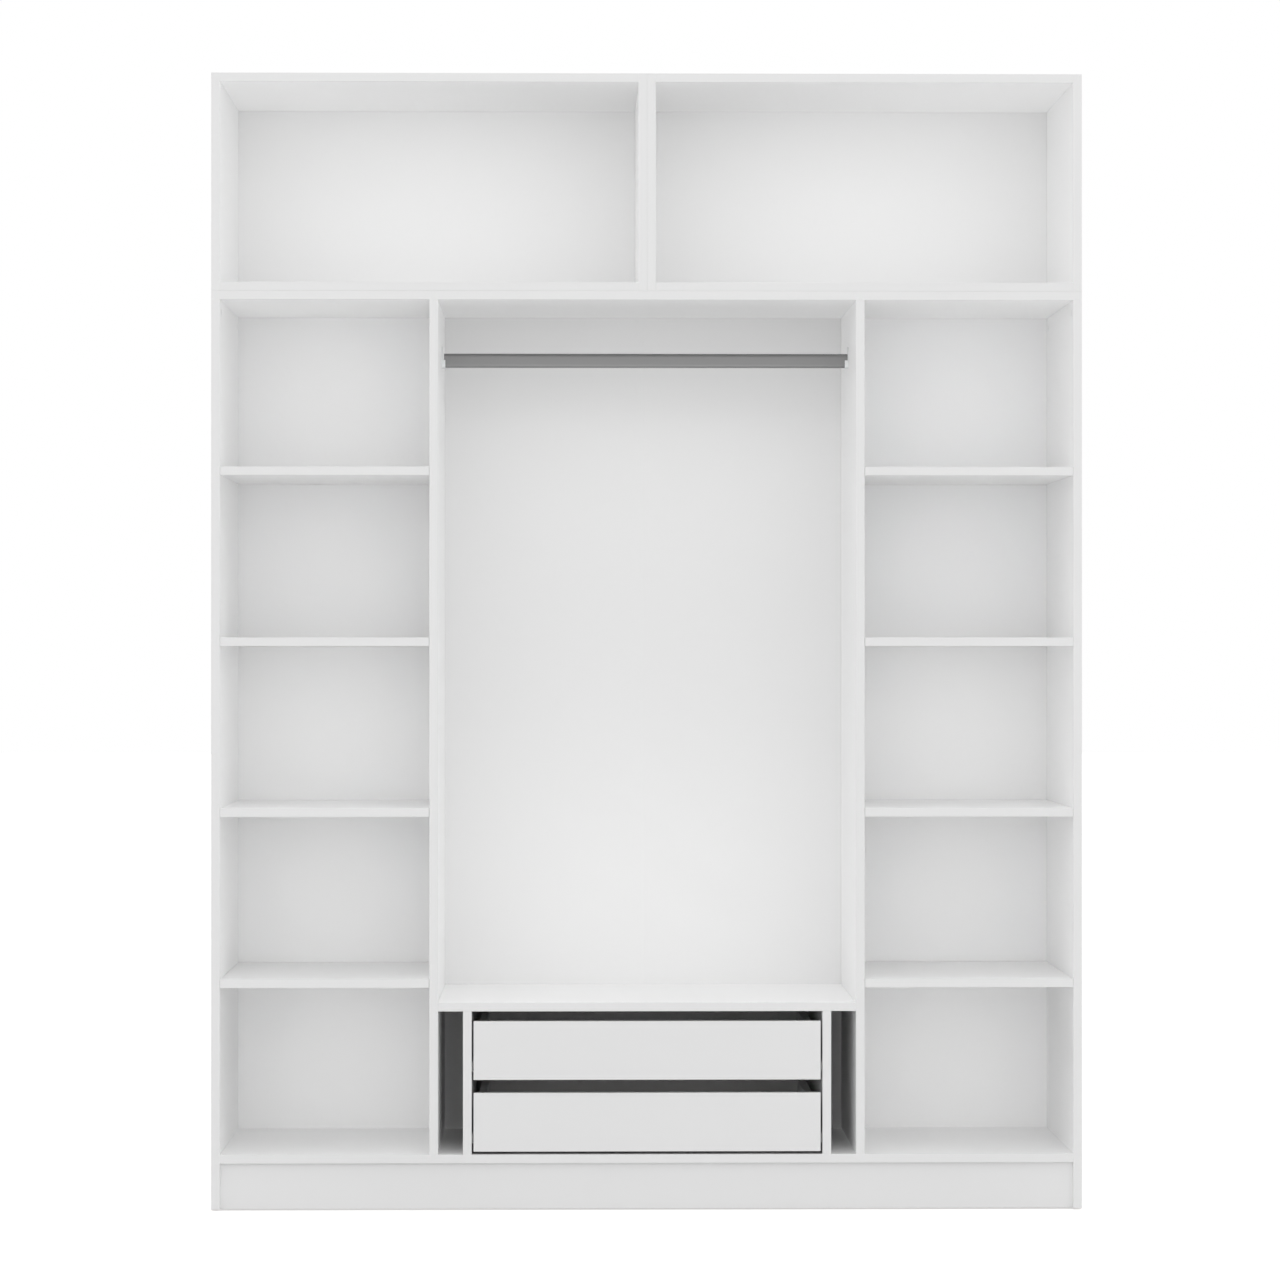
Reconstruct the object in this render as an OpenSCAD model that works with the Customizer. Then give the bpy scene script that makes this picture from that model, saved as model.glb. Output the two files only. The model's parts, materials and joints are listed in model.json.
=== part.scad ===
// Open wardrobe in white board: two shelf bays beside a hanging bay that stands over two
// drawers on roller runners, with two open boxes side by side on top.
// Origin at the middle of the footprint on the floor. X runs right, Y to the back, Z up.

/* [Overall size] */
// Overall width
total_w = 1800; // [1700:10:2000]
// Overall depth of the side panels
total_d = 520; // [500:5:600]
// Height of the main cabinet with its top board
main_h = 1900; // [1880:10:2100]
// Height of each top box
box_h = 450; // [350:10:550]

/* [Boards] */
// Thickness of the white boards
board_t = 18; // [16:0.5:22]
// Thickness of the hardboard backs and drawer bottoms
sheet_t = 3; // [2.5:0.5:4]
// Distance from the rear edges to the rear face of the backs
back_inset = 17; // [10:1:20]
// Depth of the grooves for the backs
groove_depth = 7; // [5:0.5:8]

/* [Bays and shelves] */
// Clear width of each side bay
side_bay_w = 432; // [380:1:480]
// Height of the top face of the lowest side shelf
first_shelf_z = 478; // [440:1:540]
// Height step from one side shelf to the next
shelf_step = 353; // [320:1:370]

/* [Plinth] */
// Height of the underside of the bottom board
plinth_h = 98; // [85:1:120]
// Setback of the plinth board behind the front edges
plinth_setback = 10; // [0:1:30]
// Setback of the rear plinth board from the backs
rear_plinth_setback = 8; // [4:1:40]

/* [Drawers] */
// Clear width between the drawer partitions
drawer_bay_w = 725; // [600:5:780]
// Height of a drawer front
front_h = 121; // [112:1:140]
// Gap between a drawer front and each partition
front_side_gap = 3.9; // [2:0.1:6]
// Gap under the lower drawer front
foot_gap = 6; // [3:0.5:12]
// Finger gap between the drawer fronts
grip_gap = 27; // [20:1:40]
// Finger gap over the upper drawer front
upper_grip_gap = 20.5; // [15:0.5:40]
// Length of the drawer sides and of the runners
drawer_l = 450; // [400:10:455]
// Height of the drawer sides
drawer_side_h = 94; // [84:1:98]
// Height of the drawer sides over the lower edge of the front
side_lift = 12; // [8:1:14]
// Thickness of the drawer sides and backs
drawer_board_t = 16; // [15:0.5:18]
// Height of the drawer bottom over the lower edge of the sides
bottom_lift = 10; // [8:1:14]
// Depth of the grooves for the drawer bottom
drawer_groove = 6; // [4:0.5:7]

/* [Drawer runners] */
// How far a drawer opens
travel = 340; // [200:5:345]
// Gap between a partition and the drawer side
runner_gap = 12.5; // [12.3:0.1:14]
// Thickness of the rolled steel
steel_t = 1.2; // [1:0.05:1.3]
// Inner radius of the bends
bend_r = 0.8; // [0.4:0.1:1]
// Diameter of the nylon rollers
roller_d = 17; // [15:0.5:20]
// Width of the nylon rollers
roller_w = 8.2; // [7:0.1:8.4]
// Diameter of the roller axles
axle_d = 5; // [4:0.5:6]
// Diameter of the rivet heads on the axles
rivet_d = 8; // [7:0.5:10]
// Thickness of the rivet heads
rivet_t = 0.6; // [0.4:0.1:0.8]
// Distance from the front end of a cabinet runner to its roller
front_roller_in = 14; // [12:1:18]
// Distance from the rear end of a drawer runner to its roller
rear_roller_in = 12; // [10:1:20]
// Setback of the cabinet runners behind the drawer fronts
runner_setback = 3; // [2:0.5:8]
// Length of the top lip that is left off at the front roller
lip_cutback = 30; // [26:1:40]
// Width of the top lip
lip_w = 8; // [6:0.5:9]
// Height of the track over the lower edge of the drawer side
track_rise = 4.8; // [4:0.1:8]
// Width of the flange under the drawer side
foot_flange_w = 12; // [10:0.5:14]
// Height of the stop tab at the front of the track
stop_h = 3; // [2:0.5:5]
// Distance from the ends of a runner to its end screws
runner_screw_in = 37; // [32:1:60]

/* [Hanging rail] */
// Height of the oval rail
rail_h = 30; // [25:1:35]
// Thickness of the oval rail
rail_t = 15; // [12:1:18]
// Wall of the rail tube
rail_wall = 1; // [0.8:0.1:1.5]
// Height of the rail's middle over the floor
rail_z = 1772; // [1600:1:1790]
// Distance from the front edges to the rail's middle
rail_in = 250; // [200:1:300]
// Thickness of the bracket plates
plate_t = 2; // [1.5:0.5:3]
// Wall of the bracket cups
cup_wall = 1.5; // [1:0.5:2]
// Distance that a bracket stands out from the divider
cup_reach = 8; // [7:0.5:14]
// Height of the cup's rim over the rail's middle
cup_rim = 1; // [0:1:5]
// Height of the bracket plate over the rail
plate_rise = 15; // [13:1:25]

/* [Fittings] */
// Diameter of the cam locks
cam_d = 15; // [12:1:15]
// Distance from a joint to the middle of its cam locks
cam_in = 24; // [20:1:34]
// Depth of the cam locks past the middle of the board
cam_reach = 4.5; // [4:0.5:5]
// Distance of the end cam locks from the front and back of a joint
cam_inset = 37; // [30:1:60]
// Diameter of the thread of the cam bolts
bolt_d = 5; // [4:0.5:6]
// Depth of thread and dowel holes in a face
hold = 11; // [9:0.5:12]
// Diameter of the shank of the cam bolts
shank_d = 7; // [6:0.5:7]
// Diameter of the head of the cam bolts
bolt_head_d = 5.6; // [5:0.2:6]
// Diameter of the neck under that head
neck_d = 3.6; // [3:0.2:4]
// Height of the cam locks' middle over the middle of a drawer side
drawer_cam_lift = 7; // [5:1:8]
// Distance between the two cam locks at the front of a drawer side
drawer_cam_step = 46; // [30:2:48]
// Diameter of the wooden dowels
dowel_d = 8; // [6:1:8]
// Length of the wooden dowels
dowel_l = 30; // [25:1:35]
// Distance of a plinth dowel from the middle of its joint
dowel_spread = 28; // [24:1:30]
// Diameter of the shelf pins
pin_d = 5; // [4:0.5:6]
// Length of the shelf pins
pin_l = 16; // [12:1:18]
// Distance of the shelf pins from the front and rear edges of a shelf
pin_inset = 50; // [30:1:80]
// Diameter of the wood screws
screw_d = 3.5; // [3:0.5:4]
// Diameter of their countersunk heads
screw_head_d = 7; // [6:0.5:8]
// Length of the wood screws
screw_l = 15; // [12:1:16]
// Length of the screws that hold the top boxes to the main top board and to each other
box_screw_l = 30; // [24:1:31]
// Distance of those screws from the front edges and the backs
box_screw_inset = 70; // [55:5:120]
// Diameter of the floor glides
glide_d = 16; // [12:1:16]
// Thickness of the floor glides
glide_h = 3; // [2:0.5:5]
// Diameter of the glide nails
nail_d = 2.2; // [1.8:0.2:3]
// Length of the glide nails in the board
nail_l = 14; // [12:1:20]
// Distance of the glides from the front and rear edges
glide_inset = 75; // [40:5:120]

/* [Clearances] */
// Radial clearance of pegs, screws and bolts in their holes
fit_gap = 0.05; // [0.02:0.01:0.1]
// Clearance of a hardboard sheet to the visible side of its groove
groove_gap = 0.4; // [0.05:0.05:0.5]
// Clearance of a hardboard edge to the floor of its groove
edge_gap = 0.5; // [0.3:0.1:2]
// Gap at each end of a side shelf
shelf_end_gap = 0.5; // [0.3:0.1:1]
// Gap behind a side shelf
shelf_back_gap = 1; // [0.5:0.5:5]
// Clearance between a roller and what it rolls on
roll_gap = 0.3; // [0.2:0.05:0.5]
// Side play of a roller on its axle
side_play = 0.3; // [0.2:0.05:0.4]
// Radial clearance of a roller on its axle
axle_gap = 0.06; // [0.03:0.01:0.1]
// Clearance between the drawer runner and the cabinet runner's lip
flange_gap = 0.8; // [0.5:0.1:1.5]
// Clearance of a drawer side to the bend of its runner
bend_gap = 0.1; // [0.05:0.05:0.3]
// Sideways clearance between the drawer runner and the cabinet runner
pass_gap = 0.7; // [0.4:0.1:0.9]
// Clearance of the rail in its cups and to the plates
rail_gap = 0.3; // [0.1:0.1:0.8]
// Length by which the rail is shorter than the space for it
rail_play = 3; // [0:0.5:3]
// Depth of the cam locks under the face of the board
cam_recess = 0.2; // [0.1:0.1:0.5]

/* [Hidden] */

$fn = 64;
white = "#ebebe9";
sheet_white = "#e4e4e2";
steel = "#9fa2a4";
zinc = "#b9bbbb";
nylon = "#dcdcda";
beech = "#c9a06a";

// Directions along the three axes
ax_x = [1, 0, 0];
ax_y = [0, 1, 0];
ax_z = [0, 0, 1];
// Small overlap of a cutter past the face that it cuts
cut = 1;

// Small shapes of the fittings
peg_chamfer = 0.5;
dowel_chamfer = 1;
rivet_chamfer = 0.2;
screw_tip_l = 3;
screw_tip_r = 0.3;
bolt_slope = 1.5;
bolt_neck_lead = 1;
bolt_head_slope = 2;
bolt_head_l = 2.5;
bolt_head_ease = 1;
cam_pocket = 4.5;
cam_slot_l = 9;
cam_slot_w = 1.6;
cam_slot_depth = 1;
hub_wall = 1.6;
rim_wall = 1.8;
dish_depth = 1.2;
dish_slope = 0.3;
rim_recess = 0.4;
rim_chamfer = 0.5;

// Where screws stand, as shares of the length that they hold
back_screw_x = [0.25, 0.75];
back_screw_z = [0.3, 0.7];
floor_screw_x = [-0.6, 0, 0.6];
box_screw_x = 0.7;
link_screw_z = [0.25, 0.75];

// Planes of the main cabinet
front_y = -total_d / 2;
rear_y = total_d / 2;
sheet_y = rear_y - back_inset - sheet_t;
inner_d = sheet_y - front_y;
mid_y = (front_y + sheet_y) / 2;
side_x = total_w / 2 - board_t;
divider_in_x = side_x - side_bay_w - board_t;
divider_x = divider_in_x + board_t / 2;
bottom_z = plinth_h + board_t;
main_z = main_h - board_t;
total_h = main_h + box_h;

// Plinth
plinth_mid_z = (glide_h + plinth_h) / 2;
plinth_back_y = front_y + plinth_setback + board_t;
rear_plinth_y = sheet_y - rear_plinth_setback - board_t;

// Top boxes: each one's clear width and the height of its two boards
box_x = total_w / 4;
box_half_w = total_w / 4 - board_t;
box_floor_z = main_h + board_t;
box_lid_z = total_h - board_t;

// Drawers, counted from the lower one
bay_x = drawer_bay_w / 2;
drawer_x = bay_x - runner_gap;
drawer_in_x = drawer_x - drawer_board_t;
drawer_back_y = front_y + board_t + drawer_l;
shelf_under_z = bottom_z + foot_gap + 2 * front_h + grip_gap + upper_grip_gap;
function front_z(n) = bottom_z + foot_gap + n * (front_h + grip_gap);
function side_z(n) = front_z(n) + side_lift;
function floor_z(n) = side_z(n) + bottom_lift;
function track_z(n) = side_z(n) + track_rise;

// Runner section, in heights over the track
roller_r = roller_d / 2;
bend_out = bend_r + steel_t;
lip_z = roller_d + 2 * roll_gap;
flange_z = lip_z + steel_t + flange_gap;
web_in = runner_gap - steel_t;
track_w = web_in - pass_gap;
flange_tip = steel_t + 2 * pass_gap;
rear_axle_z = roller_r + roll_gap;
front_axle_z = flange_z - roll_gap - roller_r;
runner_y = front_y + board_t + runner_setback;
front_axle_y = runner_y + front_roller_in;
rear_axle_y = drawer_back_y - rear_roller_in;
stop_half_chord = sqrt(pow(roller_r, 2) - pow(rear_axle_z - stop_h, 2));
stop_y = rear_axle_y - travel - stop_half_chord - roll_gap;

// Hanging rail
rail_y = front_y + rail_in;
rail_end_x = divider_in_x - plate_t - rail_gap;
rail_bend_z = rail_h / 2 - rail_t / 2;
cup_r = rail_t / 2 + rail_gap + cup_wall;
bracket_screws = [rail_z - rail_bend_z, rail_z + rail_h / 2 + plate_rise - cup_r];

// Joints of two boards. A joint has its middle, the direction it runs, the direction into the
// board that holds the cams, the direction the cams open, that board's thickness, and the
// offsets of its cams and dowels along the run.
function joint(mid, run, into, open, t, cams, dowels) =
    [mid, run, into, open, t, cams, dowels];
cam_offset = inner_d / 2 - cam_inset;
function deep_joint(x, z, into, open) =
    joint([x, mid_y, z], ax_y, into, open, board_t, [-cam_offset, cam_offset], [0]);
function plinth_joint(x, y, into, open) =
    joint([x, y, plinth_mid_z], ax_z, into, open, board_t, [0], [-dowel_spread, dowel_spread]);

function top_joint(s) = deep_joint(s * (side_x + board_t / 2), main_z, -ax_z, -s * ax_x);
function bottom_joint(s) = deep_joint(s * side_x, plinth_h + board_t / 2, -s * ax_x, -ax_z);
function divider_head_joint(s) = deep_joint(s * divider_x, main_z, -ax_z, s * ax_x);
function divider_foot_joint(s) = deep_joint(s * divider_x, bottom_z, ax_z, s * ax_x);
function drawer_shelf_joint(s) =
    deep_joint(s * divider_in_x, shelf_under_z + board_t / 2, -s * ax_x, -ax_z);
function partition_head_joint(s) =
    deep_joint(s * (bay_x + board_t / 2), shelf_under_z, -ax_z, s * ax_x);
function partition_foot_joint(s) =
    deep_joint(s * (bay_x + board_t / 2), bottom_z, ax_z, s * ax_x);
function front_plinth_joint(s) =
    plinth_joint(s * side_x, plinth_back_y - board_t / 2, -s * ax_x, ax_y);
function rear_plinth_joint(s) =
    plinth_joint(s * side_x, rear_plinth_y + board_t / 2, -s * ax_x, -ax_y);
function cross_front_joint(s) = plinth_joint(s * divider_x, plinth_back_y, ax_y, -s * ax_x);
function cross_rear_joint(s) = plinth_joint(s * divider_x, rear_plinth_y, -ax_y, -s * ax_x);
function box_lid_joint(b, s) =
    deep_joint(b * box_x + s * box_half_w, total_h - board_t / 2, -s * ax_x, ax_z);
function box_floor_joint(b, s) =
    deep_joint(b * box_x + s * box_half_w, main_h + board_t / 2, -s * ax_x, -ax_z);

cabinet_joints = [
    for (s = [-1, 1]) each [
        top_joint(s), bottom_joint(s), divider_head_joint(s), divider_foot_joint(s),
        drawer_shelf_joint(s), partition_head_joint(s), partition_foot_joint(s),
        front_plinth_joint(s), rear_plinth_joint(s), cross_front_joint(s), cross_rear_joint(s),
        box_lid_joint(-1, s), box_floor_joint(-1, s), box_lid_joint(1, s), box_floor_joint(1, s)
    ]
];

function drawer_front_joint(n, s) =
    joint([s * (drawer_in_x + drawer_board_t / 2), front_y + board_t,
           side_z(n) + drawer_side_h / 2 + drawer_cam_lift],
          ax_z, ax_y, -s * ax_x, drawer_board_t, [-drawer_cam_step / 2, drawer_cam_step / 2], []);
function drawer_back_joint(n, s) =
    joint([s * drawer_in_x, drawer_back_y - drawer_board_t / 2,
           (floor_z(n) + sheet_t + side_z(n) + drawer_side_h) / 2],
          ax_z, -s * ax_x, ax_y, drawer_board_t, [0], []);

// Screws, each with the point at the top of its head and its direction
runner_screw_y = [runner_y + runner_screw_in, runner_y + drawer_l / 2,
                  runner_y + drawer_l - runner_screw_in];
function partition_screws(s) = [
    for (n = [0, 1]) for (y = runner_screw_y)
        [[s * (bay_x - steel_t), y, track_z(n) + rear_axle_z], s * ax_x]
];
function divider_screws(s) =
    [for (z = bracket_screws) [[s * (divider_in_x - plate_t), rail_y, z], s * ax_x]];
function back_screws(s) = [
    for (x = back_screw_x) [[s * x * side_x, sheet_y + sheet_t, bottom_z - board_t / 2], -ax_y],
    for (z = back_screw_z) [[s * divider_x, sheet_y + sheet_t, z * main_z], -ax_y]
];
drawer_screw_x = drawer_x - bend_out - (foot_flange_w - bend_out) / 2;
function runner_foot_screws(n, s) = [
    for (y = [runner_y + runner_screw_in, drawer_back_y - runner_screw_in])
        [[s * drawer_screw_x, y, side_z(n) - steel_t], ax_z]
];
function drawer_floor_screws(n) = [
    for (x = floor_screw_x)
        [[x * drawer_in_x, drawer_back_y - drawer_board_t / 2, floor_z(n)], ax_z]
];

box_screw_y = [for (t = [-1, 1]) mid_y + t * (inner_d / 2 - box_screw_inset)];
function box_screws(b) = [
    for (s = [-1, 1]) for (y = box_screw_y)
        [[b * box_x + s * box_half_w * box_screw_x, y, box_floor_z], -ax_z]
];
link_screws = [
    for (y = box_screw_y) for (z = link_screw_z) [[board_t, y, main_h + z * box_h], -ax_x]
];

// Shelf pins, each with the point on the panel's face and the direction out of it
function shelf_z(n) = first_shelf_z + n * shelf_step - board_t;
function shelf_pin_points(s, e) = [
    for (n = [0:3]) for (t = [-1, 1])
        [[s * (e > 0 ? side_x : divider_in_x + board_t),
          front_y + (inner_d - shelf_back_gap) / 2
              + t * ((inner_d - shelf_back_gap) / 2 - pin_inset),
          shelf_z(n) + pin_d / 2], -e * s * ax_x]
];

// Glides, each with the point on the board's lower edge
glide_points = [
    for (s = [-1, 1]) each [
        [s * (side_x + board_t / 2), front_y + glide_inset, glide_h],
        [s * (side_x + board_t / 2), rear_y - glide_inset, glide_h],
        [s * divider_x, front_y + glide_inset, glide_h],
        [s * divider_x, rear_y - glide_inset, glide_h]
    ]
];

// Places children at a point with their X along one direction and their Z along another
module aim(point, into, open) {
    across = cross(open, into);
    multmatrix([
        [into.x, across.x, open.x, point.x],
        [into.y, across.y, open.y, point.y],
        [into.z, across.z, open.z, point.z]
    ])
        children();
}

function beside(v) = abs(v.z) > 0.5 ? ax_x : ax_z;

// A box from one corner to the opposite one
module block(a, b) {
    translate(a) cube(b - a);
}

// A solid turned about X, from an outline of radius against length
module turned(outline) {
    rotate([0, 90, 0]) rotate_extrude() polygon(outline);
}

// A round peg along X with chamfered ends
module peg(d, from, to, chamfer) {
    turned([[0, from], [d / 2 - chamfer, from], [d / 2, from + chamfer],
            [d / 2, to - chamfer], [d / 2 - chamfer, to], [0, to]]);
}

module at_offsets(joints, which) {
    for (j = joints)
        for (offset = j[which])
            aim(j[0] + offset * j[1], j[2], j[3]) {
                $t_board = j[4];
                children();
            }
}

// Holes in the board whose edge makes the joint
module edge_bores(joints) {
    at_offsets(joints, 5) {
        translate([cam_in, 0, -cam_reach - cam_recess])
            cylinder(d = cam_d, h = cam_reach + $t_board / 2 + cut);
        rotate([0, 90, 0]) translate([0, 0, -cut]) cylinder(d = shank_d + 1, h = cam_in + cut);
    }
    at_offsets(joints, 6)
        rotate([0, 90, 0]) translate([0, 0, -cut])
            cylinder(d = dowel_d + 2 * fit_gap, h = dowel_l - hold + edge_gap + cut);
}

// Holes in the board whose face makes the joint
module face_bores(joints) {
    at_offsets(joints, 5)
        rotate([0, -90, 0]) translate([0, 0, -cut])
            cylinder(d = bolt_d + 2 * fit_gap, h = hold + edge_gap + cut);
    at_offsets(joints, 6)
        rotate([0, -90, 0]) translate([0, 0, -cut])
            cylinder(d = dowel_d + 2 * fit_gap, h = hold + edge_gap + cut);
}

// Cam lock: a round housing with a pocket for the bolt's head and a cross slot on its face
module cam_lock(t) {
    face_z = t / 2 - cam_recess;
    difference() {
        translate([cam_in, 0, -cam_reach])
            cylinder(d = cam_d - 2 * fit_gap, h = cam_reach + face_z);
        rotate([0, 90, 0]) cylinder(d = bolt_head_d + 1, h = cam_in + cam_pocket);
        for (a = [0, 90])
            translate([cam_in, 0, face_z])
                rotate(a)
                    cube([cam_slot_l, cam_slot_w, 2 * cam_slot_depth], center = true);
    }
}

// Cam bolt: thread in the face, shank through the edge, and a necked head in the cam lock
module cam_bolt() {
    thread = bolt_d / 2;
    head = bolt_head_d / 2;
    neck_from = cam_in - cam_d / 2 - bolt_neck_lead;
    head_end = cam_in + bolt_head_l;
    turned([
        [0, -hold], [thread - peg_chamfer, -hold], [thread, peg_chamfer - hold], [thread, 0],
        [shank_d / 2, 0], [shank_d / 2, neck_from - bolt_slope],
        [neck_d / 2, neck_from], [neck_d / 2, cam_in - bolt_head_slope],
        [head, cam_in], [head, head_end - bolt_head_ease],
        [head - bolt_head_ease, head_end], [0, head_end]
    ]);
}

module screw_solid(l, grow) {
    core = screw_d / 2 + grow;
    head = screw_head_d / 2 + grow;
    turned([[0, 0], [head, 0], [core, head - core], [core, l - screw_tip_l],
            [screw_tip_r + grow, l + grow], [0, l + grow]]);
}

module screws(list, l = screw_l) {
    for (s = list)
        aim(s[0], s[1], beside(s[1])) screw_solid(l, 0);
}

// Screw holes, whose countersinks run on past the head by the cutter's overlap
module screw_bores(list, l = screw_l) {
    for (s = list)
        aim(s[0], s[1], beside(s[1])) {
            screw_solid(l, fit_gap);
            translate([-cut, 0, 0]) rotate([0, 90, 0])
                cylinder(d = screw_head_d + 2 * fit_gap, h = cut);
        }
}

module board(a, b, edges = [], faces = []) {
    difference() {
        block(a, b);
        edge_bores(edges);
        face_bores(faces);
    }
}

// Groove for a hardboard sheet that lies against its rear side, open where the corners run past
module sheet_groove(a, b) {
    block([a.x, sheet_y - groove_gap, a.y], [b.x, sheet_y + sheet_t, b.y]);
}

module pin_bores(list) {
    for (p = list)
        aim(p[0], p[1], ax_z) rotate([0, -90, 0]) translate([0, 0, -cut])
            cylinder(d = pin_d + 2 * fit_gap, h = pin_l / 2 + edge_gap + cut);
}

module nail_bores(points) {
    for (p = points)
        translate([p.x, p.y, p.z - cut])
            cylinder(d = nail_d + 2 * fit_gap, h = nail_l + edge_gap + cut);
}

// Main cabinet
module side_panel(s) {
    inner = s * side_x;
    outer = s * total_w / 2;
    color(white)
        difference() {
            board([min(inner, outer), front_y, glide_h], [max(inner, outer), rear_y, main_z],
                  [top_joint(s)],
                  [bottom_joint(s), front_plinth_joint(s), rear_plinth_joint(s)]);
            sheet_groove([min(inner - s * cut, inner + s * groove_depth), 0],
                         [max(inner - s * cut, inner + s * groove_depth), main_z + cut]);
            pin_bores(shelf_pin_points(s, 1));
            nail_bores(glide_points);
        }
}

module left_side_panel() side_panel(-1);

module right_side_panel() side_panel(1);

module main_top_panel() {
    groove_x = side_x + groove_depth;
    color(white)
        difference() {
            board([-total_w / 2, front_y, main_z], [total_w / 2, rear_y, main_h],
                  [], [for (s = [-1, 1]) each [top_joint(s), divider_head_joint(s)]]);
            sheet_groove([-groove_x, main_z - cut], [groove_x, main_z + groove_depth]);
            screw_bores(concat(box_screws(-1), box_screws(1)), box_screw_l);
        }
}

module bottom_panel() {
    color(white)
        difference() {
            board([-side_x, front_y, plinth_h], [side_x, sheet_y, bottom_z],
                  [for (s = [-1, 1]) bottom_joint(s)],
                  [for (s = [-1, 1]) each [divider_foot_joint(s), partition_foot_joint(s)]]);
            screw_bores(concat(back_screws(-1), back_screws(1)));
        }
}

module plinth_board() {
    color(white)
        board([-side_x, plinth_back_y - board_t, glide_h], [side_x, plinth_back_y, plinth_h],
              [for (s = [-1, 1]) front_plinth_joint(s)],
              [for (s = [-1, 1]) cross_front_joint(s)]);
}

module rear_plinth_board() {
    color(white)
        board([-side_x, rear_plinth_y, glide_h], [side_x, rear_plinth_y + board_t, plinth_h],
              [for (s = [-1, 1]) rear_plinth_joint(s)],
              [for (s = [-1, 1]) cross_rear_joint(s)]);
}

module plinth_cross_boards() {
    color(white)
        for (s = [-1, 1])
            difference() {
                board([s * divider_x - board_t / 2, plinth_back_y, glide_h],
                      [s * divider_x + board_t / 2, rear_plinth_y, plinth_h],
                      [cross_front_joint(s), cross_rear_joint(s)]);
                nail_bores(glide_points);
            }
}

module divider(s) {
    color(white)
        difference() {
            board([s * divider_x - board_t / 2, front_y, bottom_z],
                  [s * divider_x + board_t / 2, sheet_y, main_z],
                  [divider_head_joint(s), divider_foot_joint(s)],
                  [drawer_shelf_joint(s)]);
            pin_bores(shelf_pin_points(s, -1));
            screw_bores(concat(divider_screws(s), back_screws(s)));
        }
}

module left_divider() divider(-1);

module right_divider() divider(1);

// Side shelf, notched underneath so that its pins stay out of sight
module side_shelf(s, n) {
    near_x = divider_in_x + board_t + shelf_end_gap;
    far_x = side_x - shelf_end_gap;
    notch = pin_l / 2 + edge_gap;
    half_pin = pin_d / 2 + fit_gap;
    color(white)
        difference() {
            block([min(s * near_x, s * far_x), front_y, shelf_z(n)],
                  [max(s * near_x, s * far_x), sheet_y - shelf_back_gap, shelf_z(n) + board_t]);
            for (e = [-1, 1])
                for (p = shelf_pin_points(s, e))
                    aim(p[0], p[1], ax_z)
                        block([-cut, -half_pin, -pin_d / 2 - cut], [notch, half_pin, half_pin]);
        }
}

module left_shelf_1() side_shelf(-1, 0);

module left_shelf_2() side_shelf(-1, 1);

module left_shelf_3() side_shelf(-1, 2);

module left_shelf_4() side_shelf(-1, 3);

module right_shelf_1() side_shelf(1, 0);

module right_shelf_2() side_shelf(1, 1);

module right_shelf_3() side_shelf(1, 2);

module right_shelf_4() side_shelf(1, 3);

module drawer_top_shelf() {
    color(white)
        board([-divider_in_x, front_y, shelf_under_z],
              [divider_in_x, sheet_y, shelf_under_z + board_t],
              [for (s = [-1, 1]) drawer_shelf_joint(s)],
              [for (s = [-1, 1]) partition_head_joint(s)]);
}

module drawer_partition(s) {
    inner = s * bay_x;
    outer = s * (bay_x + board_t);
    color(white)
        difference() {
            board([min(inner, outer), front_y, bottom_z], [max(inner, outer), sheet_y, shelf_under_z],
                  [partition_head_joint(s), partition_foot_joint(s)]);
            screw_bores(partition_screws(s));
        }
}

module left_drawer_partition() drawer_partition(-1);

module right_drawer_partition() drawer_partition(1);

// Half of the main back, in the grooves of the side and top panels and behind the bottom board
module back_panel(s) {
    edge_x = side_x + groove_depth - edge_gap;
    color(sheet_white)
        difference() {
            block([min(0, s * edge_x), sheet_y, plinth_h],
                  [max(0, s * edge_x), sheet_y + sheet_t, main_z + groove_depth - edge_gap]);
            screw_bores(back_screws(s));
        }
}

module left_back_panel() back_panel(-1);

module right_back_panel() back_panel(1);

// Oval outline of the rail, with its long side upright, grown by a margin
module oval(grow) {
    r = rail_t / 2 + grow;
    square([2 * r, 2 * rail_bend_z], center = true);
    for (s = [-1, 1])
        translate([0, s * rail_bend_z]) circle(r);
}

module hanging_rail() {
    color(steel)
        translate([rail_play - rail_end_x, rail_y, rail_z])
            rotate([90, 0, 90])
                linear_extrude(2 * rail_end_x - rail_play)
                    difference() {
                        oval(0);
                        oval(-rail_wall);
                    }
}

// Rail bracket: a screwed plate with a cup, open at the top, that wraps the rail's lower half
module rail_bracket() {
    plate_top = rail_h / 2 + plate_rise - cup_r;
    translate([-divider_in_x, rail_y, rail_z])
        rotate([90, 0, 90]) {
            linear_extrude(plate_t) {
                for (z = [-rail_bend_z, plate_top])
                    translate([0, z]) circle(cup_r);
                translate([-cup_r, -rail_bend_z]) square([2 * cup_r, plate_top + rail_bend_z]);
            }
            linear_extrude(cup_reach)
                difference() {
                    oval(rail_gap + cup_wall);
                    oval(rail_gap);
                    translate([-rail_h, cup_rim]) square(2 * rail_h);
                }
        }
}

module rail_brackets() {
    color(zinc)
        difference() {
            for (m = [0, 1])
                mirror([m, 0, 0]) rail_bracket();
            for (s = [-1, 1])
                screw_bores(divider_screws(s));
        }
}

// Top boxes, b is -1 for the left one and 1 for the right one
module box_side(b, s) {
    inner = b * box_x + s * box_half_w;
    outer = inner + s * board_t;
    color(white)
        difference() {
            board([min(inner, outer), front_y, main_h], [max(inner, outer), rear_y, total_h],
                  [], [box_lid_joint(b, s), box_floor_joint(b, s)]);
            sheet_groove([min(inner - s * cut, inner + s * groove_depth), box_floor_z - groove_depth],
                         [max(inner - s * cut, inner + s * groove_depth), box_lid_z + groove_depth]);
            screw_bores(link_screws, box_screw_l);
        }
}

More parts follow.
